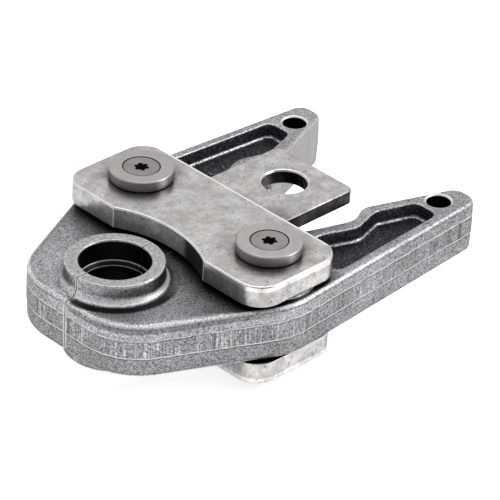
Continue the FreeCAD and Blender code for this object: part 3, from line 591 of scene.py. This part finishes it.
def add_sawn_sides(look, colour):
    """The plates' upright sides: marked and smudged, with painted light on them, most at the
    crossbar's ends and on the lower plate.
    """
    marks = look.step(look.noise(1.3, 2.0, 0.6, stretch=0.1, shift=4.0), 0.5, 0.4)
    smudge = look.step(look.noise(0.22, 3.0, 0.6, shift=27.0), 0.48, 0.34)
    end = look.step(look.side, CROSSBAR_END - 6.1, CROSSBAR_END - 3.1)
    lower = look.step(look.z, -8.0, -9.0)
    colour = look.tint(colour, look.upright * marks, 0.9)
    colour = look.tint(colour, look.upright * smudge, 0.8)
    # Painted light on the upright sides, more at the crossbar's ends and on the lower plate
    colour = look.tint(colour, look.upright, 1.12)
    colour = look.tint(colour, look.upright * end, 1.3)
    return look.tint(colour, look.upright * lower, 1.2)


def add_tail(look, colour, tail_edges):
    """The tail: painted shade on its sides, on the wall of its hole and where it leaves the
    crossbar, and a darker bevel.
    """
    from_pin = look.distance(0.0, 0.0)
    sides = look.upright * look.step(look.x, CROSSBAR_REAR_X - 0.6, CROSSBAR_REAR_X + 0.4)
    bevel = tail_edges * look.within(abs(look.nz), 0.4, 0.9, 0.1)
    rim = TOOL_HOLE_RADIUS + TOOL_HOLE_BEVEL
    hole = look.upright * look.step(from_pin, rim, rim - 0.2)
    crossbar_shade = look.step(look.x, -4.0, -16.0) * look.step(look.y, -2.0, -13.0)
    crossbar_shade = crossbar_shade * look.step(abs(look.z), TAIL_FACE_Z + 0.65, TAIL_FACE_Z + 0.35)
    # Painted shade on the tail's sides
    colour = look.tint(colour, sides, 0.17)
    colour = look.tint(colour, bevel, 0.55)
    # Painted shade on the hole's wall, then behind the crossbar
    colour = look.tint(colour, hole, 0.7)
    return look.tint(colour, crossbar_shade, 0.6)


def plate_look():
    """The two cross plates: stained bright steel with painted highlights on their edges."""
    look = Look("plate_steel")
    stain = look.noise(0.17, 6.0, 0.7, shift=2.0)
    cloud = look.noise(0.5, 4.0, 0.65, shift=9.0)
    grain = look.noise(2.6, 3.0, 0.65)
    from_disc = look.distance(PIVOT_X, PIVOT_Y)
    off_hole = look.step(look.distance(0.0, 0.0), TOOL_HOLE_RADIUS + 1.1, TOOL_HOLE_RADIUS + 1.5)
    tail_edges = look.step(look.x, CROSSBAR_REAR_X + 0.4, CROSSBAR_REAR_X + 1.4) * off_hole

    # The front side, with painted shade deepest in its hollow, and the ridges where the hollow
    # begins, which get a painted highlight
    front = look.upright * look.step(look.x, CROSSBAR_FRONT_X + 9.95, CROSSBAR_FRONT_X + 7.95)
    ridge = front * look.line(look.side, HOLLOW_SIDE, 0.35)

    colour = stained_steel(look, stain, cloud, grain)
    colour = add_sawn_sides(look, colour)
    colour = add_tail(look, colour, tail_edges)
    # Painted shade on the front side, deepening towards the far end and nearly black in the hollow
    colour = look.tint(colour, front, look.step(look.y, 17.0, 24.0, 1.02, 0.72))
    colour = look.tint(colour, front * look.within(look.y, -20.0, -7.0, 1.5), 0.1)
    # Painted shade where surfaces stand close, and on the plate round the discs
    colour = look.tint(colour, 1 - look.openness(6.0, 0.35, 0.95), 0.28)
    colour = look.tint(colour, look.step(from_disc, DISC_RADIUS + 1.4, DISC_RADIUS), 0.6)

    # Painted highlights on the edges, on the hollow's ridges and along the crossbar's rear edge
    painted_highlight = look.edges(0.45, 0.004, 0.03) * (1 - tail_edges) * (1 - look.upright * 0.8)
    rear_edge = look.within(look.x, CROSSBAR_REAR_X - 1.0, CROSSBAR_REAR_X, 0.2)
    rear_edge = rear_edge * look.step(abs(look.z), CROSSBAR_FACE_Z - 1.15, CROSSBAR_FACE_Z - 0.65)
    painted_highlight = painted_highlight | ridge * 0.9 | rear_edge * (1 - look.upright)
    colour = look.blend(painted_highlight, colour, (0.95, 0.94, 0.94))
    polish = look.step(from_disc, DISC_RADIUS + 0.8, DISC_RADIUS + 3.8, 0.6, 1.0)
    roughness = look.grade(stain, 0.35, 0.65, 0.34, 0.22) * polish
    normal = look.bump(grain * 0.6 + cloud * 0.6, 0.02, look.rounded(0.45))
    return look.finish(colour, roughness, normal, 1 - (ridge | front * 0.25))


# Discs, screws, pins and spring

def turned_look(name, dark, light, edge_shine, socket=False):
    """Lathe-turned satin steel, its fine rings about the nearer pivot, with painted shade on its
    sides and in its corners and painted highlights on its edges.
    """
    look = Look(name)
    radius = look.distance(PIVOT_X, PIVOT_Y)
    rings = look.noise(5.0, 2.0, 0.6, at=look.join(radius, look.z * 1.4, 0.0))
    grain = look.noise(3.2, 2.0, 0.6, shift=6.0)
    cloud = look.noise(0.3, 3.0, 0.5, shift=19.0)
    head_gap = look.within(radius, SCREW_HEAD_RADIUS - 0.13, SCREW_HEAD_RADIUS + 0.29, 0.06)
    colour = look.blend(look.grade(cloud, 0.3, 0.7), dark, light)
    colour = look.scale(colour, look.grade(rings, 0.3, 0.7, 0.94, 1.05))
    colour = look.scale(colour, look.grade(grain, 0.3, 0.7, 0.95, 1.05))
    # Painted shade on the upright sides and where surfaces stand close
    colour = look.tint(colour, look.upright, 0.8)
    colour = look.tint(colour, 1 - look.openness(3.0), 0.35)
    # Painted highlight on the edges
    colour = look.blend(look.edges(0.2) * edge_shine, colour, (0.78, 0.76, 0.75))
    colour = look.blend(head_gap, colour, (0.012, 0.011, 0.011))
    if socket:
        # The socket's inside painted dark as shade
        hollow = look.step(radius, SOCKET_RADIUS + 0.4, SOCKET_RADIUS + 0.1)
        hollow = hollow * look.step(abs(look.z), DISC_FACE_Z - 0.35, DISC_FACE_Z - 0.75)
        colour = look.blend(hollow, colour, (0.1, 0.095, 0.095))
    roughness = look.grade(grain, 0.3, 0.7, 0.3, 0.38)
    normal = look.bump(rings * 0.7 + grain * 0.5, 0.006, look.rounded(0.25))
    return look.finish(colour, roughness, normal, 1 - look.upright * 0.2)


def spring_look():
    """Drawn spring wire."""
    look = Look("spring_steel")
    grain = look.noise(2.5, 2.0, 0.6)
    drawn = look.grade(look.noise(0.6, 3.0, 0.6, shift=8.0), 0.3, 0.7)
    colour = look.blend(drawn, (0.22, 0.215, 0.21), (0.44, 0.43, 0.42))
    return look.finish(colour, look.grade(grain, 0.3, 0.7, 0.28, 0.42), look.bump(grain, 0.01))


def dress(looks):
    """Gives every solid of the frame the material of its kind."""
    kinds = {
        "jaw": "forged_steel", "plate": "plate_steel", "disc": "disc_steel",
        "screw": "screw_steel", "pin": "pin_steel", "spring": "spring_steel",
    }
    for name, node in frame["nodes"].items():
        kind = next(kind for word, kind in kinds.items() if word in name)
        for slot in node.material_slots:
            slot.material = looks[kind]


# Spring

WIRE_RADIUS = 0.6
HALF_SPRING_TURNS = 3.5


def half_spring(name, side, material):
    """Half of the closing spring, from the middle plane to one lever's seat.

    Its surface has two parameters. The first runs along a helix about the Y axis: the
    helix turns evenly while it climbs evenly from the spring's middle. The second runs
    round the wire, a circle spanned by the helix's radius and by the cross product of
    that radius with the helix's tangent.
    """
    low, high = (np.array(corner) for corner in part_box("closing_spring"))
    centre = (low + high) / 2
    wire = WIRE_RADIUS * MM
    coil = (high[0] - low[0]) / 2 - wire
    climb = (high[1] - low[1]) / 2 - wire
    steps, around = 120, 12
    share = np.linspace(0.0, 1.0, steps + 1)
    whole = 2 * np.pi * HALF_SPRING_TURNS
    turn = whole * share
    level = np.zeros_like(turn)
    radial = np.stack([np.cos(turn), level, side * np.sin(turn)], axis=1)
    tangent = np.stack([
        -whole * coil * np.sin(turn),
        level + side * climb,
        side * whole * coil * np.cos(turn),
    ], axis=1)
    tangent /= np.linalg.norm(tangent, axis=1, keepdims=True)
    across = np.cross(tangent, radial)
    path = centre + radial * coil + np.outer(share, (0.0, side * climb, 0.0))
    angle = np.linspace(0.0, 2 * np.pi, around, endpoint=False)[None, :, None]
    circle = radial[:, None] * np.cos(angle) + across[:, None] * np.sin(angle)
    points = (path[:, None] + circle * wire).reshape(-1, 3)

    ring, here = np.meshgrid(np.arange(steps) * around, np.arange(around), indexing="ij")
    after = (here + 1) % around
    corners = [ring + here, ring + after, ring + around + after, ring + around + here]
    sides = np.stack(corners, axis=-1).reshape(-1, 4)
    start = np.arange(around)[::-1]
    end = np.arange(around) + steps * around
    data = bpy.data.meshes.new(name)
    data.from_pydata(points.tolist(), [], [*sides.tolist(), start.tolist(), end.tolist()])
    data.polygons.foreach_set("use_smooth", [True] * len(sides) + [False, False])
    data.materials.append(material)
    piece = bpy.data.objects.new(name, data)
    bpy.context.scene.collection.objects.link(piece)
    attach(piece, "frame")
    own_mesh(piece)
    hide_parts("closing_spring")


# Stage and light

FLOOR_REACH = 3.0  # metres
FLOOR_GLOW = 0.75


def soft_light(name, place, size, power):
    """A square soft box that faces the object. Place and size are in metres, power in watts."""
    data = bpy.data.lights.new(name, "AREA")
    data.size = size
    data.energy = power
    light = bpy.data.objects.new(name, data)
    bpy.context.scene.collection.objects.link(light)
    light.location = place
    light.rotation_euler = (-Vector(place)).to_track_quat("-Z", "Y").to_euler()


def make_floor():
    """A pale floor that glows only to the camera and in reflections."""
    data = bpy.data.meshes.new("floor")
    corners = [(-1, -1), (1, -1), (1, 1), (-1, 1)]
    points = [(x * FLOOR_REACH, y * FLOOR_REACH, FLOOR_Z * MM) for x, y in corners]
    data.from_pydata(points, [], [(0, 1, 2, 3)])
    floor = bpy.data.objects.new("floor", data)
    bpy.context.scene.collection.objects.link(floor)
    look = Look("floor")
    tone = look.grade(look.noise(0.004, 2.0, 0.5), 0.0, 1.0, 0.9, 0.92)
    look.finish(look.join(tone, tone, tone), 0.9, metallic=0.0)
    camera, glossy, transmission = (
        look.node("ShaderNodeLightPath", {}, {}, f"Is {ray} Ray")
        for ray in ("Camera", "Glossy", "Transmission")
    )
    glow = camera | glossy | transmission
    look.feed(look.shader.inputs["Emission Color"], look.join(glow, glow, glow))
    look.shader.inputs["Emission Strength"].default_value = FLOOR_GLOW
    data.materials.append(look.material)


def make_world():
    """A white tent, darker on the side of the photograph's camera."""
    world = bpy.data.worlds.new("studio")
    bpy.context.scene.world = world
    world.use_nodes = True
    sky = Nodes(world.node_tree)
    direction = sky.node("ShaderNodeTexCoord", {}, {}, "Generated")
    alike = sky.dot(direction, towards_camera())
    height = sky.split(direction)[2]
    shade = sky.step(alike, 0.1, 0.8) * sky.step(height, 0.08, 0.35)
    background = sky.tree.nodes["Background"]
    background.inputs["Color"].default_value = (1.0, 1.0, 1.0, 1.0)
    sky.feed(background.inputs["Strength"], 0.94 - shade * 0.7)


bpy.context.scene.view_settings.view_transform = "Standard"
place_camera()
make_floor()
make_world()
soft_light("overhead", place=(-0.05, 0.05, 0.8), size=1.0, power=2.5)
soft_light("key", place=(0.45, -0.5, 0.5), size=0.4, power=2.0)
soft_light("back", place=(0.268, 0.263, 0.706), size=0.2, power=0.75)

disc_steel = (0.376, 0.361, 0.352), (0.428, 0.411, 0.4)
screw_steel = (0.26, 0.248, 0.246), (0.31, 0.296, 0.294)
pin_steel = (0.44, 0.43, 0.42), (0.5, 0.49, 0.47)
looks = {
    "forged_steel": forged_look(),
    "plate_steel": plate_look(),
    "disc_steel": turned_look("disc_steel", *disc_steel, edge_shine=0.35),
    "screw_steel": turned_look("screw_steel", *screw_steel, edge_shine=0.4, socket=True),
    "pin_steel": turned_look("pin_steel", *pin_steel, edge_shine=0.5),
    "spring_steel": spring_look(),
}
dress(looks)
half_spring("spring_left_coils", 1, looks["spring_steel"])
half_spring("spring_right_coils", -1, looks["spring_steel"])
